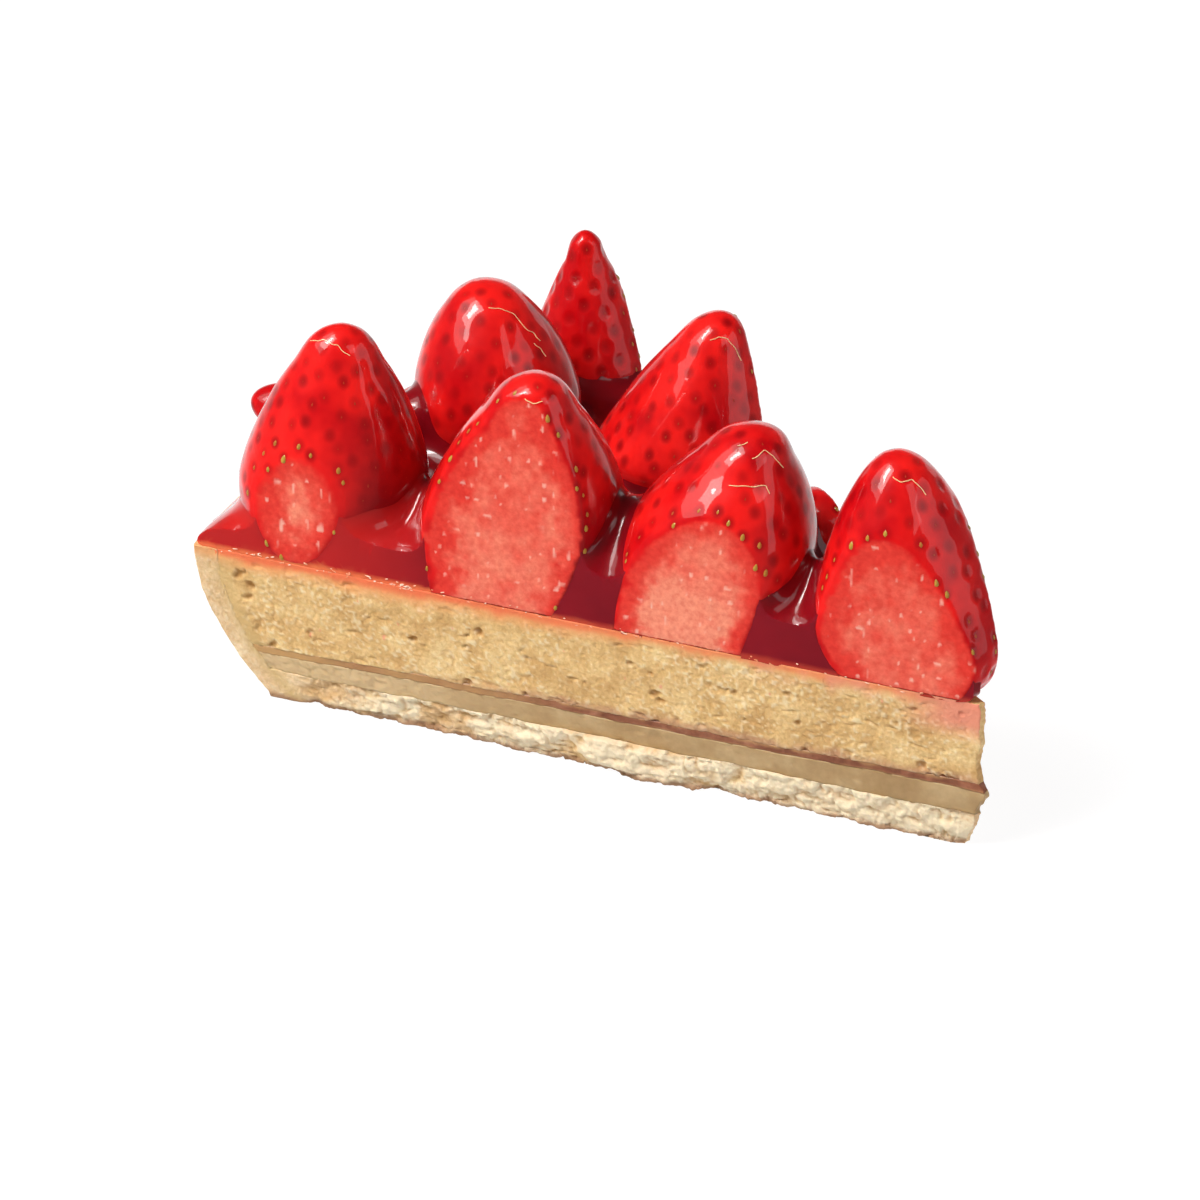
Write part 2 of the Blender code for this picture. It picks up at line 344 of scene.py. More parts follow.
def grainGroup():  # patches and fine grain, shared by all the food
    tree = bpy.data.node_groups.new("grain", "ShaderNodeTree")
    for way, names in (("INPUT", ("Patch Scale", "Grain Scale")), ("OUTPUT", ("Patches", "Grain"))):
        for name in names:
            tree.interface.new_socket(name, in_out=way, socket_type="NodeSocketFloat")
    entry, leave = tree.nodes.new("NodeGroupInput"), tree.nodes.new("NodeGroupOutput")
    place = tree.nodes.new("ShaderNodeTexCoord").outputs["Object"]
    for output, scale, detail in (("Patches", "Patch Scale", 3), ("Grain", "Grain Scale", 5)):
        texture = tree.nodes.new("ShaderNodeTexNoise")
        scale = entry.outputs[scale]
        tune(tree, texture, {"Vector": place, "Scale": scale, "Detail": detail, "Roughness": 0.6})
        tree.links.new(texture.outputs["Fac"], leave.inputs[output])


def useGrain(tree, patchScale, grainScale):
    node = tree.nodes.new("ShaderNodeGroup")
    node.node_tree = bpy.data.node_groups["grain"]
    tune(tree, node, {"Patch Scale": patchScale, "Grain Scale": grainScale})
    return node.outputs["Patches"], node.outputs["Grain"]


def addBump(tree, shader, height, distance, strength=1.0):
    bump = tree.nodes.new("ShaderNodeBump")
    tune(tree, bump, {"Strength": strength, "Distance": distance, "Height": height})
    tree.links.new(bump.outputs["Normal"], shader.inputs["Normal"])


def bakedMaterial(name, look):  # three tones in patches, a finer grain, stains, and painted shade that makes pits and crevices darker
    material, tree, shader = newMaterial(name)
    patches, grain = useGrain(tree, *look["scales"])  # of the patches, then of the grain
    tone = colourRamp(tree, patches, (0.34, 0.5, 0.66), look["tones"])
    fine = colourRamp(tree, grain, (0.32, 0.66), look["fine"])
    tone = mixColour(tree, 1.0, tone, fine, "MULTIPLY")
    # stains, and painted shade: darker pits and crevices, a darker foot of the crust
    for mask, colour in look["stainsAndShade"].items():
        tone = mixColour(tree, readValue(tree, mask), tone, colour)
    tune(tree, shader, {"Base Color": tone, "Roughness": look["roughness"]})
    scatter = {"Weight": look["scatter"], "Radius": (1.0, 0.55, 0.3), "Scale": 1.2 * mm}
    tune(tree, shader, {"Subsurface " + key: value for key, value in scatter.items()})
    addBump(tree, shader, grain, look["bump"])
    return material


cakeLook = {
    "tones": ((0.64, 0.385, 0.145), (0.76, 0.495, 0.205), (0.85, 0.61, 0.29)),
    "fine": ((0.84, 0.78, 0.66), (1.08, 1.10, 1.14)),
    "scales": (190, 1500),
    "roughness": 0.6,
    "scatter": 0.12,
    "bump": 0.2 * mm,
    "stainsAndShade": {
        # painted shade in holes and crevices
        "pitShadeAndBrown": (0.50, 0.25, 0.065),
        "pale": (0.90, 0.75, 0.47),
        "streak": (0.62, 0.42, 0.17),
        "bleed": (0.47, 0.22, 0.13),
        "toast": (0.86, 0.34, 0.115),
        "skin": (0.86, 0.16, 0.055),
        "stain": (0.80, 0.27, 0.17),
    },
}
crustLook = {
    "tones": ((0.68, 0.44, 0.21), (0.79, 0.555, 0.31), (0.88, 0.68, 0.43)),
    "fine": ((0.84, 0.79, 0.70), (1.08, 1.09, 1.12)),
    "scales": (200, 1400),
    "roughness": 0.62,
    "scatter": 0.12,
    "bump": 0.22 * mm,
    "stainsAndShade": {
        "butter": (0.80, 0.58, 0.26),
        "pale": (0.84, 0.71, 0.49),
        # painted shade in deep flakes, crevices and holes, and the crumbly zone's own browner tone
        "pitShadeAndBrown": (0.55, 0.31, 0.105),
        "streak": (0.62, 0.42, 0.17),
        "toast": (0.80, 0.36, 0.13),
        # browned underside, darkened further as painted contact shadow
        "brownedAndShade": (0.34, 0.17, 0.08),
    },
}
moistLook = {
    "tones": ((0.41, 0.255, 0.11), (0.47, 0.305, 0.14), (0.54, 0.375, 0.19)),
    "fine": ((0.93, 0.92, 0.88), (1.05, 1.05, 1.06)),
    "scales": (110, 800),
    "roughness": 0.42,
    "scatter": 0.2,
    "bump": 0.06 * mm,
    # the first entry is painted shade in holes and crevices
    "stainsAndShade": {"pitShadeAndBrown": (0.42, 0.23, 0.09), "pale": (0.66, 0.47, 0.25)},
}
jamLook = {
    "tones": ((0.23, 0.075, 0.036), (0.30, 0.105, 0.052), (0.38, 0.155, 0.085)),
    "fine": ((0.82, 0.78, 0.76), (1.12, 1.12, 1.12)),
    "scales": (260, 900),
    "roughness": 0.4,
    "scatter": 0.15,
    "bump": 0.1 * mm,
    "stainsAndShade": {"fade": (0.56, 0.32, 0.12)},
}


# layers of the cake

def rimRadius(height):
    return slab["radius"] - slab["undercut"] * np.maximum(0, 1 - height / cakeTop) ** slab["rimCurve"]


layerShape = {
    "baseAtTip": 5.8 * mm,
    "baseAtRim": 4.9 * mm,
    "seamAtTip": 10.5 * mm,
    "seamAtRim": 8.3 * mm,
    "jamThick": 1.3 * mm,
    "overlap": 0.05 * mm,  # the layers reach into each other by this
    "lap": 0.35 * mm,  # and into the rim wall by this
    "baseWave": 0.5 * mm,
    "seamWave": 0.45 * mm,
}


def wave(radius, size, seed, octaves):  # an uneven line from the tip to the rim
    radius = np.asarray(radius, float)
    along = np.stack([radius, 0 * radius, 0 * radius], -1).reshape(-1, 3)
    return layered(along, size, seed, octaves).reshape(radius.shape)


def baseTop(radius):
    share = radius / slab["radius"]
    level = layerShape["baseAtTip"] * (1 - share) + layerShape["baseAtRim"] * share
    return level + layerShape["baseWave"] * wave(radius, 4.5 * mm, 81, 4)


def seamHeight(radius):
    share = radius / slab["radius"]
    level = layerShape["seamAtTip"] * (1 - share) + layerShape["seamAtRim"] * share
    return level + layerShape["seamWave"] * wave(radius, 11 * mm, 83, 3)


def spunWedge(name, profile, columns, rows, steps):  # from the near cut to the far one
    deselectAll()
    bpy.ops.mesh.primitive_grid_add(x_subdivisions=columns, y_subdivisions=rows, size=1)
    piece = added(name)
    points = readPoints(piece)
    radius, height = profile(points[:, 0] + 0.5, points[:, 1] + 0.5)
    writePoints(piece, tip + radius[:, None] * nearWay + height[:, None] * np.array([0, 0, 1]))
    bpy.ops.object.mode_set(mode="EDIT")
    bpy.ops.mesh.select_all(action="SELECT")
    bpy.ops.mesh.spin(steps=steps, angle=slab["angle"], center=(slab["tipX"], 0, 0), axis=(0, 0, 1))
    faceOutward(piece)
    return piece


def layerProfile(bottom, top):  # a sheet from the blunt tip to the inside of the rim wall
    def profile(share, level):
        reach = 100 * mm * share  # a first guess, for the height that varies with the radius
        for turn in range(3):
            low, high = bottom(reach), top(reach)
            height = low + (high - low) * level
            edge = rimRadius(height) - slab["wall"] + layerShape["lap"]
            reach = slab["tipStart"] + (edge - slab["tipStart"]) * share
        return reach, height

    return profile


def slicePlace(points):  # distance from the tip, share of the turn, height
    away = tip[:2] - points[:, :2]
    radius = np.hypot(away[:, 0], away[:, 1])
    turn = (halfAngle - np.arctan2(away[:, 1], away[:, 0])) / slab["angle"]
    return radius, turn, points[:, 2]


# how deep each point lies in a hollow
def pits(along, height, count, small, large, seed, longs, reach):
    draw = np.random.default_rng(seed)
    starts = draw.uniform(2 * mm, reach, count)
    levels = draw.uniform(height.min(), height.max(), count)
    centres = np.stack([starts, levels], 1)
    sizes = small + (large - small) * draw.random(count) ** 2.2
    stretch = draw.uniform(*longs, count)
    tilt = draw.uniform(-0.6, 0.6, count) / longs[0]
    wobble = 1 + 0.45 * softNoise(np.stack([along, height, along * 0], 1), 0.7 * mm, seed)
    depth = np.zeros(len(along))
    for (x, z), size, long, lean in zip(centres, sizes, stretch, tilt):
        close = (np.abs(along - x) < 1.6 * size * long) & (np.abs(height - z) < 1.6 * size * long)
        dx, dz = along[close] - x, height[close] - z
        turned = dx * math.cos(lean) + dz * math.sin(lean)
        across = dz * math.cos(lean) - dx * math.sin(lean)
        far = np.hypot(turned / long, across) / size * wobble[close]
        depth[close] = np.maximum(depth[close], size * np.clip(1 - far**2, 0, 1) ** 0.6)
    return depth


def cutFaces(piece, relief):  # relief gives the push inwards and the masks of one side
    points = readPoints(piece)
    radius, turn, height = slicePlace(points)
    value = {}
    for side, (chosen, inward) in enumerate(((turn < 0.001, nearIn), (turn > 0.999, farIn))):
        push, marks = relief(radius[chosen], height[chosen], side)
        push = push * rampMm(1.0, 5, radius[chosen])
        points[chosen] += inward * push[:, None]
        for key, marked in marks.items():
            value.setdefault(key, np.zeros(len(points)))[chosen] = marked
    writePoints(piece, points)
    pointValues(piece, **value)


def crumbledTip(height):
    out = 2.0 * mm * np.exp(-(((height - 9.4 * mm) / (1.6 * mm)) ** 2))
    return out - 1.1 * mm * np.exp(-((height / (3.5 * mm)) ** 2))


def pushTip(piece):
    points = readPoints(piece)
    radius, turn, height = slicePlace(points)
    near = ramp(7 * mm, slab["tipStart"], radius)
    ragged = 0.9 * layered(points * np.array([0.2, 0.6, 1]), 1.8 * mm, 87, 3) * mm - 0.2 * mm
    points[:, 0] += near * (crumbledTip(height) * near + ragged)
    writePoints(piece, points)


def finishLayer(piece, name, look, slotName, node):
    pushTip(piece)
    smoothShade(piece)
    put(piece, bakedMaterial(name, look), slotName, node)


def faceCoords(along, height, side):
    return np.stack([along, height, np.full(len(along), 0.05 * side)], 1)


def cutSwell(place):  # slow unevenness that all the layers share, so that none steps out
    return 0.13 * mm * layered(place, 4.5 * mm, 5)


def crumbs(place, seed):  # broken crevices between small lumps, and the grain on them
    bent = place + 0.4 * mm * layered(place, 1.4 * mm, seed, 2)[:, None]
    wide = ramp(0.26, 0.02, np.abs(softNoise(bent * np.array([0.8, 1.1, 1]), 1.7 * mm, seed + 1)))
    fine = ramp(0.34, 0.03, np.abs(softNoise(bent, 0.85 * mm, seed + 2)))
    broken = ramp(0.0, 0.6, softNoise(place, 2.4 * mm, seed + 3))
    scattered = ramp(-0.1, 0.5, softNoise(place, 1.3 * mm, seed + 4))
    crevice = np.maximum(wide * broken, 0.6 * fine * scattered)
    return crevice, softNoise(place, 0.45 * mm, seed + 5)


def wallStreak(along, height, place):  # a darker band where the cake meets the rim wall
    inner = rimRadius(height) - slab["wall"]
    band = np.exp(-(((along - inner + 0.4 * mm) / (1.9 * mm)) ** 2))
    return band * ramp(-0.9, 0.3, layered(place, 5 * mm, 72))


def cakeBottom(radius):
    return seamHeight(radius) + layerShape["jamThick"] / 2 - layerShape["overlap"]


def makeCake():
    cake = spunWedge("almondCake", layerProfile(cakeBottom, lambda radius: cakeTop), 540, 70, 10)

    def crumb(along, height, side):
        place = faceCoords(along, height, side)
        crevice, grain = crumbs(place, 9)
        open = ramp(-0.5, 0.4, layered(place, 6.5 * mm, 19))
        crevice, grain = crevice * (0.3 + 0.7 * open), grain * (0.45 + 0.55 * open)
        holes = pits(along, height, 70, 0.18 * mm, 0.7 * mm, 31 + side, (0.8, 1.9), 118 * mm)
        tears = pits(along, height, 150, 0.12 * mm, 0.27 * mm, 35 + side, (2, 5), 118 * mm)
        hollow = np.maximum(holes, 1.3 * tears)
        below = cakeTop - height
        rind = rampMm(1.9, 0.7, below)
        join = np.exp(-(((along - rimRadius(height) + slab["wall"]) / (1.3 * mm)) ** 2))
        rough = (0.30 * crevice - 0.09 * grain) * mm * (1 - 0.75 * rind) * (1 - 0.8 * join)
        push = 0.13 * mm + cutSwell(place) + rough + 0.9 * hollow * (1 - rind)
        ragged = 0.9 * mm * layered(place, 2.5 * mm, 14)
        left = rampMm(35, 85, along)
        toast = ramp(2.2 + 1.9 * left, 0.5, (below + ragged) / mm) * (0.75 + 0.25 * left)
        skin = ramp(1.2 + 0.6 * left, 0.3, (below + 0.7 * ragged) / mm) * (0.5 + 0.45 * left)
        stain = rampMm(16, 5, along) * rampMm(7.5, 3, below)
        tint = rampMm(55, 20, along) * rampMm(5, 0.5, below) * 0.7
        stain = np.maximum(stain * 0.95, tint * ramp(-0.2, 0.6, layered(place, 4 * mm, 21)))
        specks = ramp(0.76, 0.86, softNoise(place * np.array([1, 0.6, 1]), 0.8 * mm, 24)) * 0.8
        seam = height - seamHeight(along) - layerShape["jamThick"] / 2
        bleed = rampMm(1.8, 0.1, seam + 1.2 * ragged) * rampMm(100, 60, along) * 0.65
        # painted shade: darker in holes and crevices, less so in the rind under the glaze
        pitShadeAndBrown = rampMm(0.12, 0.6, hollow) * 0.9 + 0.42 * crevice * (1 - rind)
        pale = ramp(0.1, 0.6, grain) * (1 - rind) * 0.6
        marks = {"toast": toast, "skin": skin, "stain": np.maximum(stain, specks), "bleed": bleed}
        marks["streak"] = wallStreak(along, height, place) * (1 - rind) * 0.75
        return push, {**marks, "pitShadeAndBrown": np.clip(pitShadeAndBrown, 0, 1), "pale": pale}

    cutFaces(cake, crumb)
    points = readPoints(cake)
    radius, turn, height = slicePlace(points)
    edge = rampMm(1.2, 0, cakeTop - height) * ((turn < 0.001) | (turn > 0.999) | (radius < 2 * mm))
    rise = 0.45 * layered(points, 2.8 * mm, 27) + 0.25 * layered(points, 1.1 * mm, 28, 2)
    points[:, 2] += edge * mm * np.clip(rise, -0.38, 0.6)
    writePoints(cake, points)
    finishLayer(cake, "cake", cakeLook, "cake", "almond_cake")


def jamBottom(radius):
    return seamHeight(radius) - layerShape["jamThick"] / 2


def makeJam():
    profile = layerProfile(jamBottom, lambda radius: jamBottom(radius) + layerShape["jamThick"])
    jam = spunWedge("jamSeam", profile, 300, 6, 10)

    def relief(along, height, side):
        place = faceCoords(along, height, side)
        lumpy = layered(place, 1.6 * mm, 41)
        level = (height - seamHeight(along)) / layerShape["jamThick"] + 0.5
        fade = ramp(0.6, 1.2, level + 0.6 * layered(place, 2.5 * mm, 44)) * 0.6
        fade = np.maximum(fade, ramp(0.35, 0.0, level + 0.3 * layered(place, 2 * mm, 46)) * 0.4)
        left = rampMm(62, 80, along) * (0.6 + 0.4 * layered(place, 6 * mm, 45))
        fade = np.maximum(fade, np.maximum(left, 0.9 * rampMm(92, 108, along)))
        return 0.2 * mm + cutSwell(place) + 0.16 * mm * lumpy, {"fade": np.clip(fade, 0, 1)}

    cutFaces(jam, relief)
    finishLayer(jam, "jam", jamLook, "jam", "jam_seam")


def makeMoistLayer():
    gap = layerShape["overlap"]
    profile = layerProfile(lambda radius: baseTop(radius) - gap, lambda radius: jamBottom(radius) + gap)
    moist = spunWedge("moistLayer", profile, 400, 14, 10)

    def relief(along, height, side):
        place = faceCoords(along, height, side)
        low = layered(place * np.array([0.6, 1.2, 1]), 2.6 * mm, 51)
        holes = pits(along, height, 22, 0.2 * mm, 0.5 * mm, 57 + side, (1, 2), 112 * mm)
        pitShadeAndBrown = rampMm(0.15, 0.5, holes)
        crevice, grain = crumbs(place, 53)
        left = rampMm(65, 100, along)
        clots = ramp(0.25, 0.6, layered(place * np.array([0.8, 1, 1]), 2.4 * mm, 55))
        pale = np.clip(0.85 * left + 0.6 * clots * rampMm(70, 20, along), 0, 1)
        push = 0.2 * mm + cutSwell(place) + 0.15 * mm * low - 0.15 * mm * clots + 0.6 * holes
        push = push + (0.25 * crevice - 0.1 * grain) * mm * left
        # painted shade: less pale in the hollows of the grain on the left
        pale = pale * (1 - 0.35 * left * ramp(0.0, -0.6, grain))
        # painted shade: darker in holes, and in crevices on the left
        return push, {"pitShadeAndBrown": np.maximum(0.7 * pitShadeAndBrown, 0.5 * crevice * left), "pale": pale}

    cutFaces(moist, relief)
    finishLayer(moist, "moist", moistLook, "moist_layer", "moist_layer")


def makeCrust():
    baseColumns, wallColumns = 500, 84
    columns = baseColumns + wallColumns
    flat = baseColumns / columns
    corner = rimRadius(layerShape["baseAtRim"]) - slab["wall"]

    def profile(share, level):
        climb = np.clip((share - flat) / (1 - flat), 0, 1)
        on = share <= flat
        low = slab["tipStart"] + (rimRadius(0) - slab["tipStart"]) * np.minimum(share / flat, 1)
        outside = np.where(on, low, rimRadius(climb * cakeTop)), climb * cakeTop
        high = slab["tipStart"] + (corner - slab["tipStart"]) * np.minimum(share / flat, 1)
        rise = layerShape["baseAtRim"] + climb * (cakeTop - layerShape["baseAtRim"])
        lining = rimRadius(rise) - slab["wall"] + 0.3 * mm * wave(rise, 2.6 * mm, 85, 3)
        inside = np.where(on, high, lining), np.where(on, baseTop(high), rise)
        return [o + (i - o) * level for o, i in zip(outside, inside)]

    crust = spunWedge("pastryCrust", profile, columns, 25, 28)
    wallStart = layerShape["baseAtTip"]

    def flakes(along, height, side):
        place = faceCoords(along, height, side)
        lying = place * np.array([0.5, 1.25, 1])
        bend = lying + 0.6 * mm * layered(place, 1.8 * mm, 60, 2)[:, None]
        plate = layered(bend, 1.7 * mm, 61, 2) * 3.4
        step = np.floor(plate) + ramp(0.78, 1.0, plate - np.floor(plate))
        torn = ramp(0.28, 0.02, np.abs(softNoise(bend, 1.1 * mm, 63)))
        chip = np.maximum(0, softNoise(place * np.array([0.8, 1, 1]), 3.4 * mm, 65) - 0.1)
        crevice, grain = crumbs(place, 74)
        low = ramp(wallStart + 0.9 * mm, wallStart - 0.5 * mm, height) * rampMm(110, 104, along)
        foot = rampMm(1.9, 0.2, height) * ramp(-0.15, 0.5, softNoise(place, 6 * mm, 64))
        bulge = 1.5 * mm * np.exp(-(((along - 56 * mm) / (13 * mm)) ** 2)) * (1 - height / cakeTop)
        depth = 0.2 * step + 0.22 * torn + 0.8 * chip + 0.2 * crevice - 0.12 * grain
        push = low * (depth + 0.9 * foot) * mm - (bulge if side == 0 else 0)
        holes = pits(along, height, 22, 0.15 * mm, 0.4 * mm, 67 + side, (0.8, 1.6), 120 * mm)
        wall = 1 - low
        soft = (0.10 * crevice - 0.06 * grain) * mm
        push = push + 0.11 * mm + cutSwell(place) + wall * (soft + 0.8 * holes)
        crumbly = ramp(0.0, 0.5, softNoise(place, 7 * mm, 66)) * rampMm(40, 70, along)
        crumbly = np.maximum(crumbly, rampMm(92, 104, along)) * low
        pale = ramp(0.65, 0.1, depth + 0.5 * crumbly) * low * 0.95
        pale = np.maximum(pale, wall * 0.35 * ramp(0.1, 0.7, grain))
        butter = ramp(0.1, 0.6, layered(place, 5 * mm, 75)) * low * 0.8
        # painted shade in deep flakes, crevices and holes; the crumbly zone adds its own browner tone
        pitShadeAndBrown = np.maximum(ramp(0.45, 1.1, depth) * 0.85, 0.5 * crevice) * low
        hollow = np.maximum(0.2 * crevice, rampMm(0.1, 0.4, holes))
        pitShadeAndBrown = np.maximum(pitShadeAndBrown + 0.3 * crumbly, wall * hollow)
        streak = wallStreak(along, height, place) * wall * rampMm(1.9, 4, cakeTop - height) * 0.75
        # partly painted shade: the bottom of the cut face is darker for the contact shadow at the floor,
        # and partly its own browned underside
        brownedAndShade = rampMm(1.3, 0.1, height + 0.9 * mm * layered(place, 3 * mm, 69)) * 0.9
        marks = {"pale": pale, "butter": butter, "streak": streak, "brownedAndShade": brownedAndShade}
        return push, {**marks, "pitShadeAndBrown": np.clip(pitShadeAndBrown, 0, 1)}

    points = readPoints(crust)
    below = cakeTop - points[:, 2] + 0.8 * mm * layered(points, 2.5 * mm, 14)
    pointValues(crust, toast=rampMm(3.2, 0.4, below) * 0.9)
    cutFaces(crust, flakes)
    points = readPoints(crust)
    radius, turn, height = slicePlace(points)
    cut = (turn < 0.001) | (turn > 0.999)
    lift = rampMm(1.7, 0, height) * np.maximum(0, layered(points, 5 * mm, 73) + 0.2)
    points[cut, 2] += 1.3 * mm * lift[cut]
    outward = (points - tip) * np.array([1, 1, 0])
    outward /= np.linalg.norm(outward, axis=1)[:, None] + 1e-9
    outer = rampMm(2.4, 0, rimRadius(height) - radius) * rampMm(0, 0.8, height)
    lump = 0.25 * layered(points, 5 * mm, 71, 4) + 0.17 * layered(points, 1.3 * mm, 72, 2) - 0.3
    lump = outer * mm * lump
    points += outward * lump[:, None]
    writePoints(crust, points)
    finishLayer(crust, "pastry", crustLook, "pastry", "pastry_crust")


# strawberries

footShare = 0.82
wideFoot = {
    "strawberry_rim_front": 0.86,
    "strawberry_front_tall": 0.96,
    "strawberry_front_round": 0.95,
}
lumps = 0.025
topRound = 0.8
ovalBearing = math.radians(40.5)
alongOval = np.array([math.cos(ovalBearing), math.sin(ovalBearing), 0])
acrossOval = np.array([-math.sin(ovalBearing), math.cos(ovalBearing), 0])

berries = {
    # name: foot along, foot in, tip along, tip in, height, radius, widest, shoulder, taper, oval
    "strawberry_rim_front": (106.6, 10.4, 103.8, 10.4, 36.1, 14.3, 0.30, 1.40, 0.69, 0.80),
    "strawberry_front_tall": (76.6, 11.2, 70.9, 3.9, 37.9, 15.2, 0.29, 1.43, 0.68, 1.0),
    "strawberry_front_round": (47.9, 9.6, 40.1, 11.4, 31.6, 14.4, 0.33, 1.66, 0.72, 1.0),
    "strawberry_tip": (14.1, 7.6, 17.9, 8.9, 33.5, 14.4, 0.22, 1.11, 0.54, 1.0),
    "strawberry_rim_middle": (90.6, 41.0, 93.7, 42.0, 28.8, 12.8, 0.35, 1.61, 0.57, 1.0),
    "strawberry_back_middle": (62.3, 42.0, 56.5, 43.0, 30.2, 13.9, 0.28, 1.0, 0.60, 1.0),
    "strawberry_rim_back": (85.7, 66.0, 86.6, 66.0, 26.8, 10.0, 0.22, 0.98, 0.75, 1.0),
    "strawberry_far_small": (35.6, 28.6, 35.0, 28.2, 12.0, 7.4, 0.40, 2.0, 0.60, 1.0),
}
lying = {"along": 114.3 * mm, "inward": 27.4 * mm, "length": 24 * mm, "radius": 6.8 * mm, "rise": -16}
farOverhang = {"strawberry_tip": 3.5 * mm}
seedSpacing = 3.5 * mm
berryPale = {  # how pale the flesh is at the tip, and how much more at the foot
    "strawberry_rim_front": (0.36, 0.60),
    "strawberry_front_tall": (0.14, 0.40),
    "strawberry_front_round": (-0.4, 1.65),
    "strawberry_tip": (0.08, 0.32),
}
berryBand = {  # red edge on the left of the cut flesh, in mm
    "strawberry_rim_front": 0.4,
    "strawberry_front_tall": 2.6,
    "strawberry_front_round": 0.9,
    "strawberry_tip": 2.0,
}
borderSoft = {"strawberry_rim_front": 0.5}
berryRightShade = {  # painted shade: how much darker the skin is low on the right, away from the key light
    "strawberry_rim_front": 1.0,
    "strawberry_front_tall": 0.9,
    "strawberry_front_round": 0.2,
    "strawberry_tip": 0.1,
    "strawberry_rim_back": 0.1,
}
berryBare = {  # how bare of glaze, and from how far left
    "strawberry_tip": (1.0, -0.2),
    "strawberry_rim_back": (0.9, -1.6),
    "strawberry_far_small": (0.7, -0.6),
}


def berryShare(share, widest, shoulder, taper, foot):
    share = np.clip(share, 0, 1)
    low = np.sqrt(1 - (1 - foot**2) * (np.clip(widest - share, 0, 1) / widest) ** 2)
    past = np.clip((share - widest) / (1 - widest), 0, 1)
    taper = taper + (0.5 - taper) * topRound * ramp(0.80, 0.98, share)
    return np.where(share < widest, low, np.maximum(0, 1 - past**shoulder) ** taper)


def fromNearCut(along, inward, height):
    return tip + along * nearWay + inward * nearIn + np.array([0, 0, height])


def berryPlace(name, seed):
    place = {"name": name, "seed": seed}
    if name in berries:
        values = berries[name]
        place["foot"] = fromNearCut(values[0] * mm, values[1] * mm, cakeTop)
        place["tip"] = fromNearCut(values[2] * mm, values[3] * mm, cakeTop)
        place["height"], place["radius"] = values[4] * mm + 0.3 * mm, values[5] * mm
        place["form"], place["oval"] = (*values[6:9], wideFoot.get(name, footShare)), values[9]
        place["up"] = np.array([0, 0, 1.0])
        place["sides"] = np.array([[1.0, 0, 0], [0, 1.0, 0]])
    else:
        place["radius"], place["height"] = lying["radius"], lying["length"]
        place["form"], place["oval"] = (0.36, 1.5, 0.6, footShare), 1.0
        rise = math.radians(lying["rise"])
        up = -alongOval * math.cos(rise) - np.array([0, 0, math.sin(rise)])
        side = np.cross(up, [0, 0, 1.0])
        side /= np.linalg.norm(side)
        place["up"], place["sides"] = up, np.array([side, np.cross(up, side)])
        centre = fromNearCut(lying["along"], lying["inward"], cakeTop)
        place["foot"] = place["tip"] = centre - up * place["height"] / 2
        turns, shares = np.meshgrid(np.linspace(0, 2 * math.pi, 90), np.linspace(0, 1, 60))
        lowest = berrySurface(place, shares.ravel(), turns.ravel())[:, 2].min()
        place["foot"] = place["tip"] = place["foot"] + np.array([0, 0, cakeTop + 0.3 * mm - lowest])
    place["cuts"] = berryCuts(place)
    return place


def berryCuts(place):  # the planes that slice a berry, as a point and the direction that goes
    if place["name"] not in berries:
        return []
    reach, found = place["radius"] * (1 + lumps), []
    ends = np.array([place["foot"], place["tip"]]) - tip
    if (ends @ nearIn).min() < reach:
        found.append((tip, -nearIn))
    if (ends @ farIn).min() < reach:
        found.append((tip - farIn * farOverhang.get(place["name"], 0), -farIn))
    return found


def berryAxis(place, share):
    lean = place["foot"] + np.outer(share, place["tip"] - place["foot"])
    return lean + np.outer(share * place["height"], place["up"])


def berryReach(place, share):
    return berryShare(share, *place["form"]) * place["radius"]


def berrySurface(place, share, angle, grow=0.0):
    around = np.stack([np.cos(angle), np.sin(angle), 2.2 * share], 1)
    reach = berryReach(place, share) * (1 + lumps * softNoise(around, 0.77, place["seed"]))
    reach = reach + grow * (reach > 0)
    out = (np.stack([np.cos(angle), np.sin(angle)], 1) @ place["sides"]) * reach[:, None]
    return berryAxis(place, share) + out - np.outer(out @ acrossOval, acrossOval) * (1 - place["oval"])


def insideBerry(place, points):  # share of the height and of the radius at each point
    share = np.clip(((points - place["foot"]) @ place["up"]) / place["height"], 0, 1)
    out = points - berryAxis(place, share)
    out = out - np.outer(out @ place["up"], place["up"])
    out = out + np.outer(out @ acrossOval, acrossOval) * (1 / place["oval"] - 1)
    return share, np.linalg.norm(out, axis=1) / np.maximum(berryReach(place, share), 0.5 * mm)


def berryForm(place, grow=0.0, segments=96, rings=72, sliced=True):
    deselectAll()
    bpy.ops.mesh.primitive_uv_sphere_add(segments=segments, ring_count=rings, radius=1)
    piece = added(place["name"])
    points = readPoints(piece)
    polar = np.arccos(np.clip(-points[:, 2], -1, 1)) / math.pi * rings
    share = np.where(polar < 1.5, 0, 1 - (1 - (polar - 1) / (rings - 1)) ** 1.5)
    angle = np.arctan2(points[:, 1], points[:, 0])
    shaped = berrySurface(place, np.clip(share, 0, 1), angle, grow)
    ends = (polar < 0.5) | (polar > rings - 0.5)
    shaped[ends] = berryAxis(place, np.clip(share[ends], 0, 1))
    writePoints(piece, shaped)
    bpy.ops.object.mode_set(mode="EDIT")
    for spot, away in place["cuts"] if sliced else []:
        bpy.ops.mesh.select_all(action="SELECT")
        spot = spot + away * grow
        bpy.ops.mesh.bisect(plane_co=tuple(spot), plane_no=tuple(away), use_fill=True, clear_outer=True)
    faceOutward(piece)
    return piece


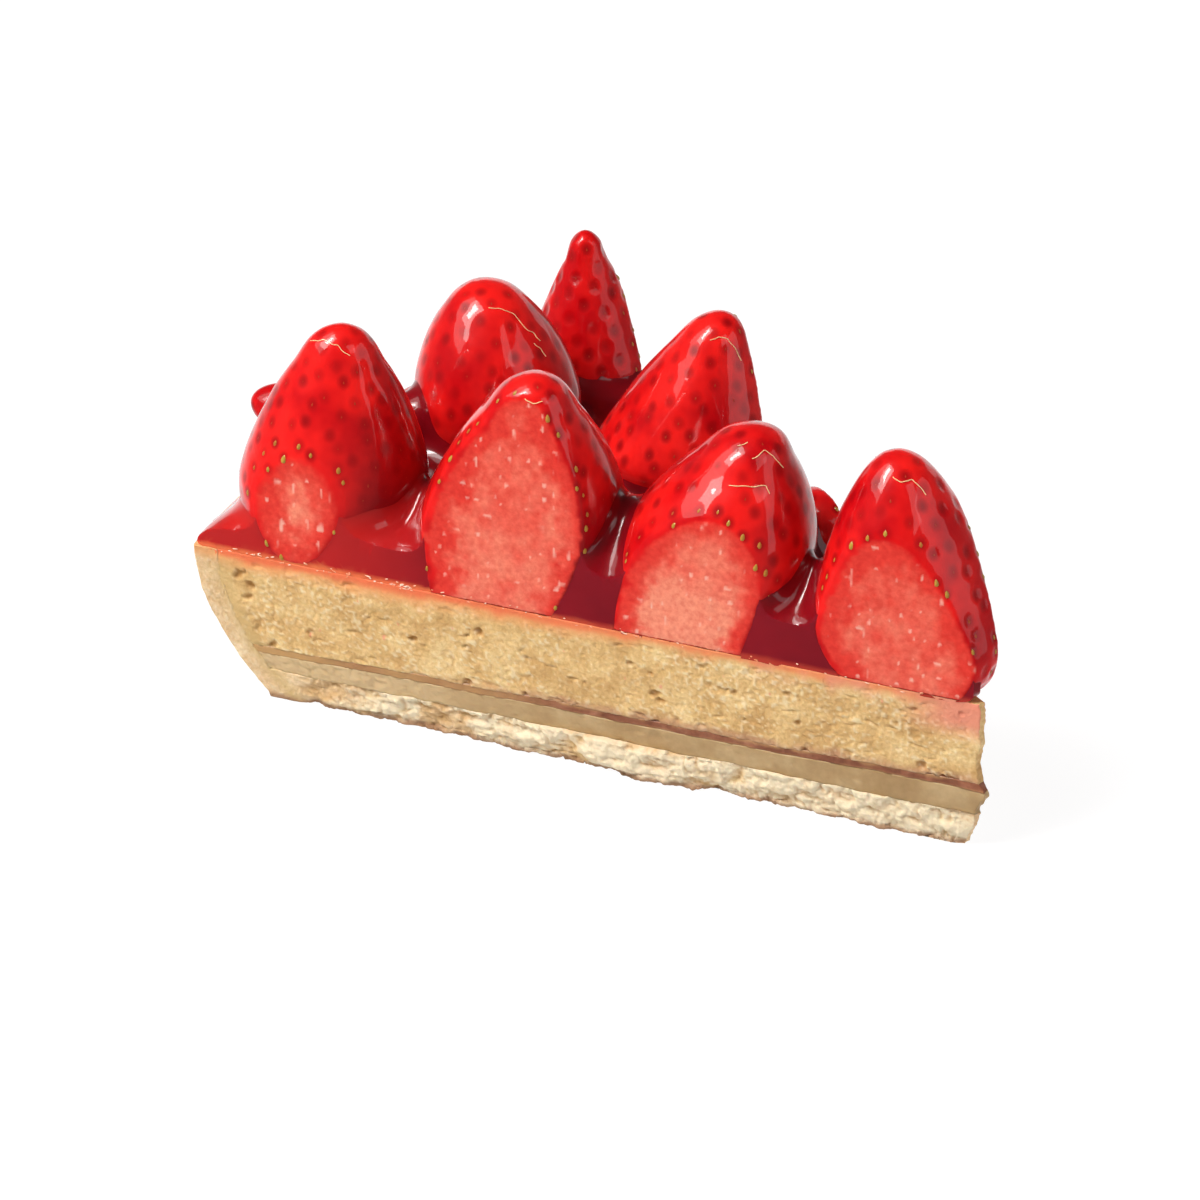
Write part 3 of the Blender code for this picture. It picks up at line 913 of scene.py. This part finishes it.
def seedPlaces(place):  # in a spiral, evenly spread over the skin
    share = np.linspace(0.02, 0.995, 400)
    reach = berryReach(place, share)
    step = np.hypot(np.gradient(share) * place["height"], np.gradient(reach))
    area = np.cumsum(2 * math.pi * reach * step)
    count = int(area[-1] / (seedSpacing**2 * 0.87))
    at = np.interp((np.arange(count) + 0.5) / count * area[-1], area, share)
    draw = np.random.default_rng(place["seed"])
    angle = np.arange(count) * math.pi * (3 - math.sqrt(5)) + draw.normal(0, 0.07, count)
    at = np.clip(at + draw.normal(0, 0.008, count), 0.02, 0.985)
    spots = berrySurface(place, at, angle)
    nudge = 0.01
    upward = berrySurface(place, at + nudge, angle) - berrySurface(place, at - nudge, angle)
    aside = berrySurface(place, at, angle + nudge) - berrySurface(place, at, angle - nudge)
    out = np.cross(aside, upward)
    out /= np.linalg.norm(out, axis=1)[:, None] + 1e-12
    upward /= np.linalg.norm(upward, axis=1)[:, None] + 1e-12
    kept = np.ones(count, bool)
    for spot, away in place["cuts"]:
        kept &= ((spots - spot) @ away) < 0.1 * mm
    return spots[kept], out[kept], upward[kept]


def bareSkin(place, points):  # where little glaze lies on the berry
    amount, start = berryBare.get(place["name"], (0, 0))
    right = (points - place["foot"]) @ alongOval
    uneven = 0.4 * layered(points, 6 * mm, 90)
    return amount * ramp(start, start + 0.8, right / place["radius"] + uneven)


def borderDistance(points, raw):  # from the skin, at the points of a cut face
    edge = np.flatnonzero((raw > 0.25) & (raw < 0.75) & (points[:, 2] > cakeTop + 1.2 * mm))
    tree = mathutils.kdtree.KDTree(len(edge))
    for index in edge:
        tree.insert(points[index], index)
    tree.balance()
    away = np.zeros(len(points))
    for index in np.flatnonzero(raw >= 0.5):
        away[index] = tree.find(points[index])[2]
    return away


def makeBerry(name, seed, material, seedList):
    place = berryPlace(name, seed)
    berry = berryForm(place)
    applyModifier(berry, "REMESH", mode="VOXEL", voxel_size=0.34 * mm)
    applyModifier(berry, "SMOOTH", factor=0.5, iterations=5)
    points, normals = readPoints(berry), readNormals(berry)
    raw = np.zeros(len(points))
    for spot, away in place["cuts"]:
        flat = rampMm(-0.6, -0.2, (points - spot) @ away) * ramp(0.3, 0.9, normals @ away)
        raw = np.maximum(raw, flat)
    border = borderDistance(points, raw) if place["cuts"] else raw
    wander = 0.6 * layered(points, 3.4 * mm, seed + 60) + 0.35 * layered(points, 0.9 * mm, seed + 63, 2)
    border = border / mm * (1 + wander) * borderSoft.get(name, 1)
    right = (points - place["foot"]) @ alongOval
    band = berryBand.get(name, 0) * ramp(0.2, -0.7, right / place["radius"])
    flesh = raw * ramp(0.15, 1.0, border - 0.3 * band)
    border = border - 0.8 * band
    low = 1 - insideBerry(place, points)[0]
    mottle = layered(points, 2.6 * mm, seed + 90, 3)
    streaks = softNoise(points * np.array([1, 1, 0.35]), 0.8 * mm, seed + 94)
    palest, rise = berryPale.get(name, (0.22, 0.38))
    pale = (palest + rise * low) * ramp(0.8, 5.0, border)
    pale = pale + (0.30 * mottle + 0.10 * streaks) * ramp(0.5, 2.5, border)
    # painted glints: pale specks on the cut flesh
    spark = ramp(0.62, 0.85, softNoise(points * np.array([1, 1, 0.6]), 0.7 * mm, seed + 96)) * flesh
    bare = bareSkin(place, points)
    spots, out, upward = seedPlaces(place)
    # depth of the seed dimples: shallow dents in the shape, and painted shade in the skin colour
    dimple = np.zeros(len(points))
    depths = np.random.default_rng(seed + 200).uniform(0.5, 1, len(spots))
    for spot, amount in zip(spots, depths):
        close = np.abs(points[:, 2] - spot[2]) < 1.5 * mm
        far = np.linalg.norm((points[close] - spot) * np.array([1, 1, 0.8]), axis=1)
        dimple[close] = np.maximum(dimple[close], amount * np.clip(1 - (far / (1.15 * mm)) ** 2, 0, 1))
    # painted shade: darker low on the right side of each berry, where the key light falls least
    wine = rampMm(28, 8, points[:, 2] - cakeTop) * ramp(-0.1, 0.6, right / place["radius"])
    skin = 1 - raw
    sag = (0.03 + 0.22 * bare) * mm * dimple * skin
    waves = 0.09 * layered(points * np.array([1, 1, 0.45]), 4.5 * mm, seed + 70, 2)
    waves = (waves + 0.03 * softNoise(points * np.array([1, 1, 0.5]), 1.6 * mm, seed + 73)) * mm * skin
    cut = raw * (0.1 * mm + 0.08 * mm * layered(points, 1.2 * mm, seed + 80, 2))
    points -= normals * (sag + waves + cut)[:, None]
    writePoints(berry, points)
    pointValues(berry, flesh=flesh, raw=raw, spark=spark, bare=bare, pale=np.clip(pale, 0, 1))
    # painted shade in the seed dimples and low on the right of the skin
    pointValues(berry, dimple=dimple**1.3 * (1 - flesh), wine=wine * berryRightShade.get(name, 0.4))
    smoothShade(berry)
    put(berry, material, "strawberry", name)
    ripe = np.zeros(len(spots))
    for spot, away in place["cuts"]:
        ripe = np.maximum(ripe, rampMm(-2.2, -0.5, (spots - spot) @ away))
    landed = [berry.closest_point_on_mesh(Vector(spot)) for spot in spots]
    spots, out = (np.array([[*hit[index]] for hit in landed]) for index in (1, 2))
    upward = upward - out * (upward * out).sum(1)[:, None]
    upward /= np.linalg.norm(upward, axis=1)[:, None] + 1e-12
    sink = (0.23 - 0.07 * ripe)[:, None] * mm
    seedList.append((spots - out * sink, out, upward, ripe, seed))
    place["piece"] = berry
    return place


def makeSeeds(seedList, material):  # one small drop, copied to each place
    deselectAll()
    bpy.ops.mesh.primitive_uv_sphere_add(segments=7, ring_count=5, radius=1)
    pattern = added("seedPattern")
    shape = readPoints(pattern)
    shape[:, :2] *= 1 - 0.35 * shape[:, 2:]
    shape *= np.array([0.29, 0.24, 0.52]) * mm
    blocks, ripeness = [], []
    for spots, out, upward, ripe, seed in seedList:
        draw = np.random.default_rng(seed + 400)
        for at, o, u, mark in zip(spots, out, upward, ripe):
            size = draw.uniform(0.85, 1.15) * (1 + 0.25 * mark)
            blocks.append(at + shape @ np.array([np.cross(o, u), o, u]) * size)
            ripeness.append(np.full(len(shape), mark * draw.uniform(0.7, 1)))
    piece = copies("strawberrySeeds", pattern, blocks)
    pointValues(piece, ripe=np.concatenate(ripeness))
    put(piece, material, "strawberry")


berryLook = {
    "skin": ((0.53, 0.001, 0.004), (0.86, 0.012, 0.010)),
    # painted shade on the skin low on the right
    "wine": (0.22, 0.001, 0.004),
    # painted shade in the seed dimples, which stay shallow under the glaze
    "dimple": (0.30, 0.001, 0.003),
    "flesh": ((0.76, 0.042, 0.028), (0.84, 0.115, 0.075), (0.90, 0.27, 0.17)),  # edge first
    "fibre": ((0.90, 0.78, 0.78), (1.06, 1.25, 1.25)),
    # painted glints on the cut flesh
    "spark": (0.95, 0.60, 0.48),
}


def berryMaterial():
    material, tree, shader = newMaterial("strawberry")
    patches, grain = useGrain(tree, 90, 1100)
    skin = colourRamp(tree, patches, (0.38, 0.62), berryLook["skin"])
    # painted shade: skin darker low on the right and in the seed dimples
    for mask in ("wine", "dimple"):
        skin = mixColour(tree, readValue(tree, mask), skin, berryLook[mask])
    inside = colourRamp(tree, readValue(tree, "pale"), (0.0, 0.3, 0.9), berryLook["flesh"])
    fibre = colourRamp(tree, grain, (0.35, 0.68), berryLook["fibre"])
    inside = mixColour(tree, 1.0, inside, fibre, "MULTIPLY")
    # painted glints: pale specks mixed into the cut flesh
    spark = mathNode(tree, "MULTIPLY", readValue(tree, "spark"), 0.6)
    inside = mixColour(tree, spark, inside, berryLook["spark"])
    matt = mathNode(tree, "MULTIPLY", readValue(tree, "raw"), 0.45)
    dull = mathNode(tree, "MULTIPLY", readValue(tree, "bare"), 0.35)
    coat = mathNode(tree, "SUBTRACT", mathNode(tree, "SUBTRACT", 1.0, matt), dull)
    tone = mixColour(tree, readValue(tree, "flesh"), skin, inside)
    tune(tree, shader, {"Base Color": tone, "Roughness": 0.42, **juicy(0.25, (1.0, 0.2, 0.12), 2.0)})
    tune(tree, shader, {"Coat Weight": coat, "Coat Roughness": 0.03})
    addBump(tree, shader, grain, 0.08 * mm, 0.6)
    return material


def juicy(weight, radius, scale):  # red light that spreads under a thin clear layer
    return {
        "Subsurface Weight": weight,
        "Subsurface Radius": radius,
        "Subsurface Scale": scale * mm,
        "Specular IOR Level": 0.1,
        "Coat IOR": 1.42,
    }


def seedMaterial():
    material, tree, shader = newMaterial("seed")
    ripe = readValue(tree, "ripe")
    tone = mixColour(tree, ripe, (0.42, 0.032, 0.010), (0.46, 0.29, 0.04))
    tune(tree, shader, {"Base Color": tone, "Roughness": 0.5, "Specular IOR Level": 0.2})
    coat = mathNode(tree, "MULTIPLY", ripe, 0.5)
    tune(tree, shader, {"Coat Weight": coat, "Coat Roughness": 0.08})
    return material


# glaze pool

glazeShape = {
    "thick": 3.2 * mm,
    "rimThick": 0.9 * mm,
    "setback": 0.6 * mm,
    "taper": 14 * mm,
    "sunk": 0.5 * mm,  # into the top of the cake
    "spare": 1.6 * mm,  # past the cuts until they are made
    "inset": 0.2 * mm,
    "fills": ((1.5 * mm, 24), (0.7 * mm, 12)),  # voxel size and rounds of filling
    # glaze held up between the front berries: along, top and width in mm
    "saddles": ((120, 3.8, 3.6), (94, 6.3, 6.8), (62.5, 8.4, 6.2), (31, 7.0, 5.8)),
    "saddleReach": 7.5 * mm,
}


def poolTop(radius):
    edge = slab["radius"] - glazeShape["setback"]
    fade = np.sin(np.clip((edge - radius) / glazeShape["taper"], 0, 1) * math.pi / 2)
    return glazeShape["rimThick"] + (glazeShape["thick"] - glazeShape["rimThick"]) * fade


def trim(piece, spot, away):  # takes off all that lies past an upright plane
    deselectAll()
    bpy.ops.mesh.primitive_cube_add(size=0.3)
    cutter = added("cutter")
    corners = readPoints(cutter)
    aside = np.cross(away, [0, 0, 1.0])
    block = corners[:, :1] * aside + (corners[:, 1:2] + 0.15) * away + corners[:, 2:] * np.array([0, 0, 1])
    writePoints(cutter, spot + block)
    applyModifier(piece, "BOOLEAN", operation="DIFFERENCE", object=cutter, solver="MANIFOLD")
    bpy.data.objects.remove(cutter)


def divideCut(piece, inward):  # the flat cut face gets points inside it
    mesh = bmesh.new()
    mesh.from_mesh(piece.data)
    mesh.normal_update()
    front = [face for face in mesh.faces if face.normal.dot(Vector(inward)) < -0.985]
    front = bmesh.ops.triangulate(mesh, faces=front)["faces"]
    way = np.cross(inward, [0, 0, 1.0])
    planes = [(tip + way * step * 1.3 * mm, way) for step in range(-97, 98)]
    for level in (0.4, 1.1, 2.0, 3.2):
        planes.append((tip + np.array([0, 0, cakeTop + level * mm]), (0, 0, 1)))
    shape = {*front, *(edge for face in front for edge in face.edges)}
    shape |= {vert for face in front for vert in face.verts}
    for spot, away in planes:
        cut = bmesh.ops.bisect_plane(mesh, geom=list(shape), plane_co=spot, plane_no=away)
        shape = set(cut["geom"])
    bmesh.ops.remove_doubles(mesh, verts=mesh.verts, dist=0.004 * mm)
    bmesh.ops.holes_fill(mesh, edges=mesh.edges, sides=12)
    bmesh.ops.triangulate(mesh, faces=[face for face in mesh.faces if len(face.verts) > 4])
    mesh.to_mesh(piece.data)
    mesh.free()


def makeGlaze(places, material):
    start, edge = 3 * mm, slab["radius"] - glazeShape["setback"]
    sunk = glazeShape["sunk"]

    def profile(share, level):
        radius = start + (edge - start) * share
        return radius, cakeTop - sunk + (poolTop(radius) + sunk) * level

    pool = spunWedge("glazePool", profile, 80, 2, 30)
    points = readPoints(pool)
    radius, turn, height = slicePlace(points)
    level = np.clip((height - cakeTop) / poolTop(radius), 0, 1)
    along, inside = (points - tip) @ nearWay, np.maximum((points - tip) @ nearIn, 0)
    for at, top, width in glazeShape["saddles"]:
        away = np.abs((along / mm - at) / width) ** 3 + (inside / glazeShape["saddleReach"]) ** 2
        points[:, 2] += level * np.maximum(0, top * mm - poolTop(radius)) * np.exp(-away)
    for chosen, inward in ((turn < 0.001, nearIn), (turn > 0.999, farIn)):
        points[chosen] -= inward * glazeShape["spare"]
    writePoints(pool, points)
    cores = [berryForm(place, -0.3 * mm, 48, 36, sliced=False) for place in places]
    deselectAll()
    for core in cores:
        core.select_set(True)
    pool.select_set(True)
    bpy.context.view_layer.objects.active = pool
    bpy.ops.object.join()
    for voxel, rounds in glazeShape["fills"]:
        applyModifier(pool, "REMESH", mode="VOXEL", voxel_size=voxel)
        fillCreases(pool, rounds)
    for inward in (nearIn, farIn):
        trim(pool, tip + inward * glazeShape["inset"], -inward)
    for place in places:
        body = berryForm(place, -0.15 * mm, 80, 60, sliced=False)
        applyModifier(pool, "BOOLEAN", operation="DIFFERENCE", object=body, solver="MANIFOLD")
        bpy.data.objects.remove(body)
    for inward in (nearIn, farIn):
        divideCut(pool, inward)
    points = readPoints(pool)
    front = np.zeros(len(points))
    for inward in (nearIn, farIn):
        on = np.abs((points - tip) @ inward - glazeShape["inset"]) < 0.01 * mm
        front = np.maximum(front, on)
        points[on] += inward * 0.07 * mm * layered(points[on], 2.5 * mm, 95)[:, None]
    writePoints(pool, points)
    radius, turn, height = slicePlace(points)
    thin = ramp(2.6, 1.0, poolTop(radius) / mm) * 0.8
    thin = np.maximum(thin, 0.9 * rampMm(1.1, 0.1, height - cakeTop))
    open = np.maximum(rampMm(15, 5, (points - tip) @ nearIn), rampMm(110, 117, radius))
    thin = np.maximum(thin, 0.75 * rampMm(76, 108, radius) * open)
    seep = rampMm(1.1, 0.1, height - cakeTop + 0.5 * mm * layered(points, 1.5 * mm, 97))
    seep = seep * (0.15 + 0.75 * rampMm(50, 90, radius))
    pointValues(pool, thin=thin, seep=seep, front=front * (1 - 0.7 * rampMm(72, 96, radius)))
    pick(pool)
    bpy.ops.object.shade_smooth_by_angle(angle=math.radians(50))
    put(pool, material, "glaze", "glaze_pool")


def fillCreases(piece, rounds):  # relaxes hollows only, as glaze fills them
    mesh = piece.data
    ends = np.empty(len(mesh.edges) * 2, np.int32)
    mesh.edges.foreach_get("vertices", ends)
    ends = ends.reshape(-1, 2)
    count = np.bincount(ends.ravel(), minlength=len(mesh.vertices))[:, None]
    points = readPoints(piece)
    for turn in range(rounds):
        total = np.zeros_like(points)
        for axis in range(3):
            total[:, axis] = np.bincount(ends[:, 0], points[ends[:, 1], axis], len(points))
            total[:, axis] += np.bincount(ends[:, 1], points[ends[:, 0], axis], len(points))
        normals = readNormals(piece)
        shift = total / count - points
        rise = (shift * normals).sum(1)
        shift = np.where(rise[:, None] > 0, shift, shift - normals * rise[:, None])
        points = points + 0.8 * shift
        writePoints(piece, points)


glints = {
    "count": 84,
    "spans": ((88, 121, 0.55), (55, 88, 0.25), (6, 55, 0.2)),  # mm from the tip, and the share
    "long": (0.10, 0.42),
    "thick": (0.06, 0.13),
}


def makeGlints(material):  # small wet lumps, coloured pale as painted glints, where the glaze meets the cut edge of the cake
    draw = np.random.default_rng(11)
    deselectAll()
    bpy.ops.mesh.primitive_ico_sphere_add(subdivisions=2, radius=1)
    pattern = added("glintPattern")
    shape, blocks = readPoints(pattern), []
    for inward, way in ((nearIn, nearWay), (farIn, nearWay * np.array([1, -1, 1]))):
        for low, high, share in glints["spans"]:
            for turn in range(round(glints["count"] * share)):
                along, rise = draw.uniform(low, high) * mm, draw.uniform(-0.4, 0.8) * mm
                at = tip + way * along + inward * 0.16 * mm + np.array([0, 0, cakeTop + rise])
                size = np.array([draw.uniform(*glints["long"]), *draw.uniform(*glints["thick"], 2)]) * mm
                tilt = draw.uniform(-0.5, 0.5)
                side = way * math.cos(tilt) + np.array([0, 0, math.sin(tilt)])
                lumpy = shape * (1 + 0.25 * softNoise(shape, 0.9, turn + along / mm))[:, None] * size
                blocks.append(at + lumpy @ np.array([side, np.cross(side, inward), inward]))
    put(copies("edgeGlints", pattern, blocks), material, "glaze")


threads = {  # share of the height and bearing in degrees along fine golden threads, painted highlight lines for the glints on the glaze
    "strawberry_rim_middle": (
        ((0.941, 314), (0.93, 338), (0.896, 354), (0.836, 359), (0.792, 366), (0.747, 369)),
        ((0.754, 360), (0.713, 365), (0.675, 366)),
    ),
    "strawberry_back_middle": (((0.923, 297), (0.938, 314), (0.923, 334), (0.866, 349), (0.814, 355)),),
    "strawberry_front_round": (
        ((0.93, 311), (0.953, 332), (0.926, 348), (0.863, 360)),
        ((0.825, 292), (0.829, 312), (0.818, 333), (0.788, 336)),
        ((0.96, 278), (0.975, 294)),
    ),
    "strawberry_tip": (((0.945, 293), (0.93, 309), (0.938, 332), (0.904, 343), (0.878, 346)),),
    "strawberry_rim_front": (((0.938, 235), (0.964, 267), (0.953, 309), (0.915, 329)),),
    "strawberry_front_tall": (((0.953, 292), (0.941, 309), (0.945, 327)),),
}
threadShape = {"radius": 0.07 * mm, "points": 30, "proud": 0.05 * mm, "kink": 0.16 * mm}


def makeThreads(places, material):
    data = bpy.data.curves.new("glintThreads", "CURVE")
    data.dimensions = "3D"
    data.bevel_depth, data.bevel_resolution = threadShape["radius"], 1
    data.use_fill_caps = True
    for place in places:
        for order, line in enumerate(threads.get(place["name"], ())):
            knots = np.array(line, float)
            at = np.linspace(0, len(knots) - 1, threadShape["points"])
            share, angle = (np.interp(at, np.arange(len(knots)), knots[:, axis]) for axis in (0, 1))
            path = berrySurface(place, share, np.radians(angle))
            for axis in range(3):
                path[:, axis] += threadShape["kink"] * softNoise(path, 0.9 * mm, 300 + axis + 5 * order)
            hits = [place["piece"].closest_point_on_mesh(Vector(point)) for point in path]
            spline = data.splines.new("POLY")
            spline.points.add(len(hits) - 1)
            for point, hit in zip(spline.points, hits):
                point.co = (*(hit[1] + hit[2] * threadShape["proud"]), 1)
    piece = linked("glintThreads", data)
    pick(piece)
    bpy.ops.object.convert(target="MESH")
    smoothShade(piece)
    put(piece, material, "glaze")


def threadMaterial():
    material, tree, shader = newMaterial("glintThreadPaint")
    # golden colour: painted highlight lines
    tune(tree, shader, {"Base Color": (0.96, 0.66, 0.33, 1), "Roughness": 0.25, "Coat Weight": 1.0})
    return material


def glintMaterial():
    material, tree, shader = newMaterial("glintSpeckPaint")
    patches = useGrain(tree, 500, 1500)[0]
    # pale peach colours: painted glints
    tone = colourRamp(tree, patches, (0.4, 0.6), ((0.92, 0.34, 0.17), (0.97, 0.68, 0.52)))
    tune(tree, shader, {"Base Color": tone, "Roughness": 0.2, "Coat Weight": 1.0})
    return material


glazeLook = {
    "deep": ((0.13, 0.001, 0.004), (0.28, 0.004, 0.009)),
    "thin": (0.66, 0.022, 0.018),
    "front": (0.24, 0.006, 0.016),  # on the cut faces
    "seep": (0.90, 0.20, 0.07),  # where it soaks into the cake
}


def glazeMaterial():
    material, tree, shader = newMaterial("glaze")
    patches = useGrain(tree, 60, 400)[0]
    tone = colourRamp(tree, patches, (0.35, 0.65), glazeLook["deep"])
    for mask, most in (("thin", 1.0), ("front", 0.6), ("seep", 1.0)):
        share = mathNode(tree, "MULTIPLY", readValue(tree, mask), most)
        tone = mixColour(tree, share, tone, glazeLook[mask])
    tune(tree, shader, {"Base Color": tone, "Roughness": 0.3, **juicy(0.2, (1.0, 0.15, 0.1), 2.5)})
    tune(tree, shader, {"Coat Weight": 1.0, "Coat Roughness": 0.02})
    return material


# the whole slice

makeCamera()
makeLights()
makeFloor()
print("camera, lights and floor are in")
grainGroup()
makeCrust()
makeMoistLayer()
makeJam()
makeCake()
print("crust and layers are in")
skinMaterial = berryMaterial()
seedList, places = [], []
for seed, name in enumerate([*berries, "strawberry_rim_lying"], 1):
    places.append(makeBerry(name, seed, skinMaterial, seedList))
    print("berry", name)
makeSeeds(seedList, seedMaterial())
makeGlaze(places, glazeMaterial())
makeGlints(glintMaterial())
makeThreads(places, threadMaterial())
print("glaze is in")
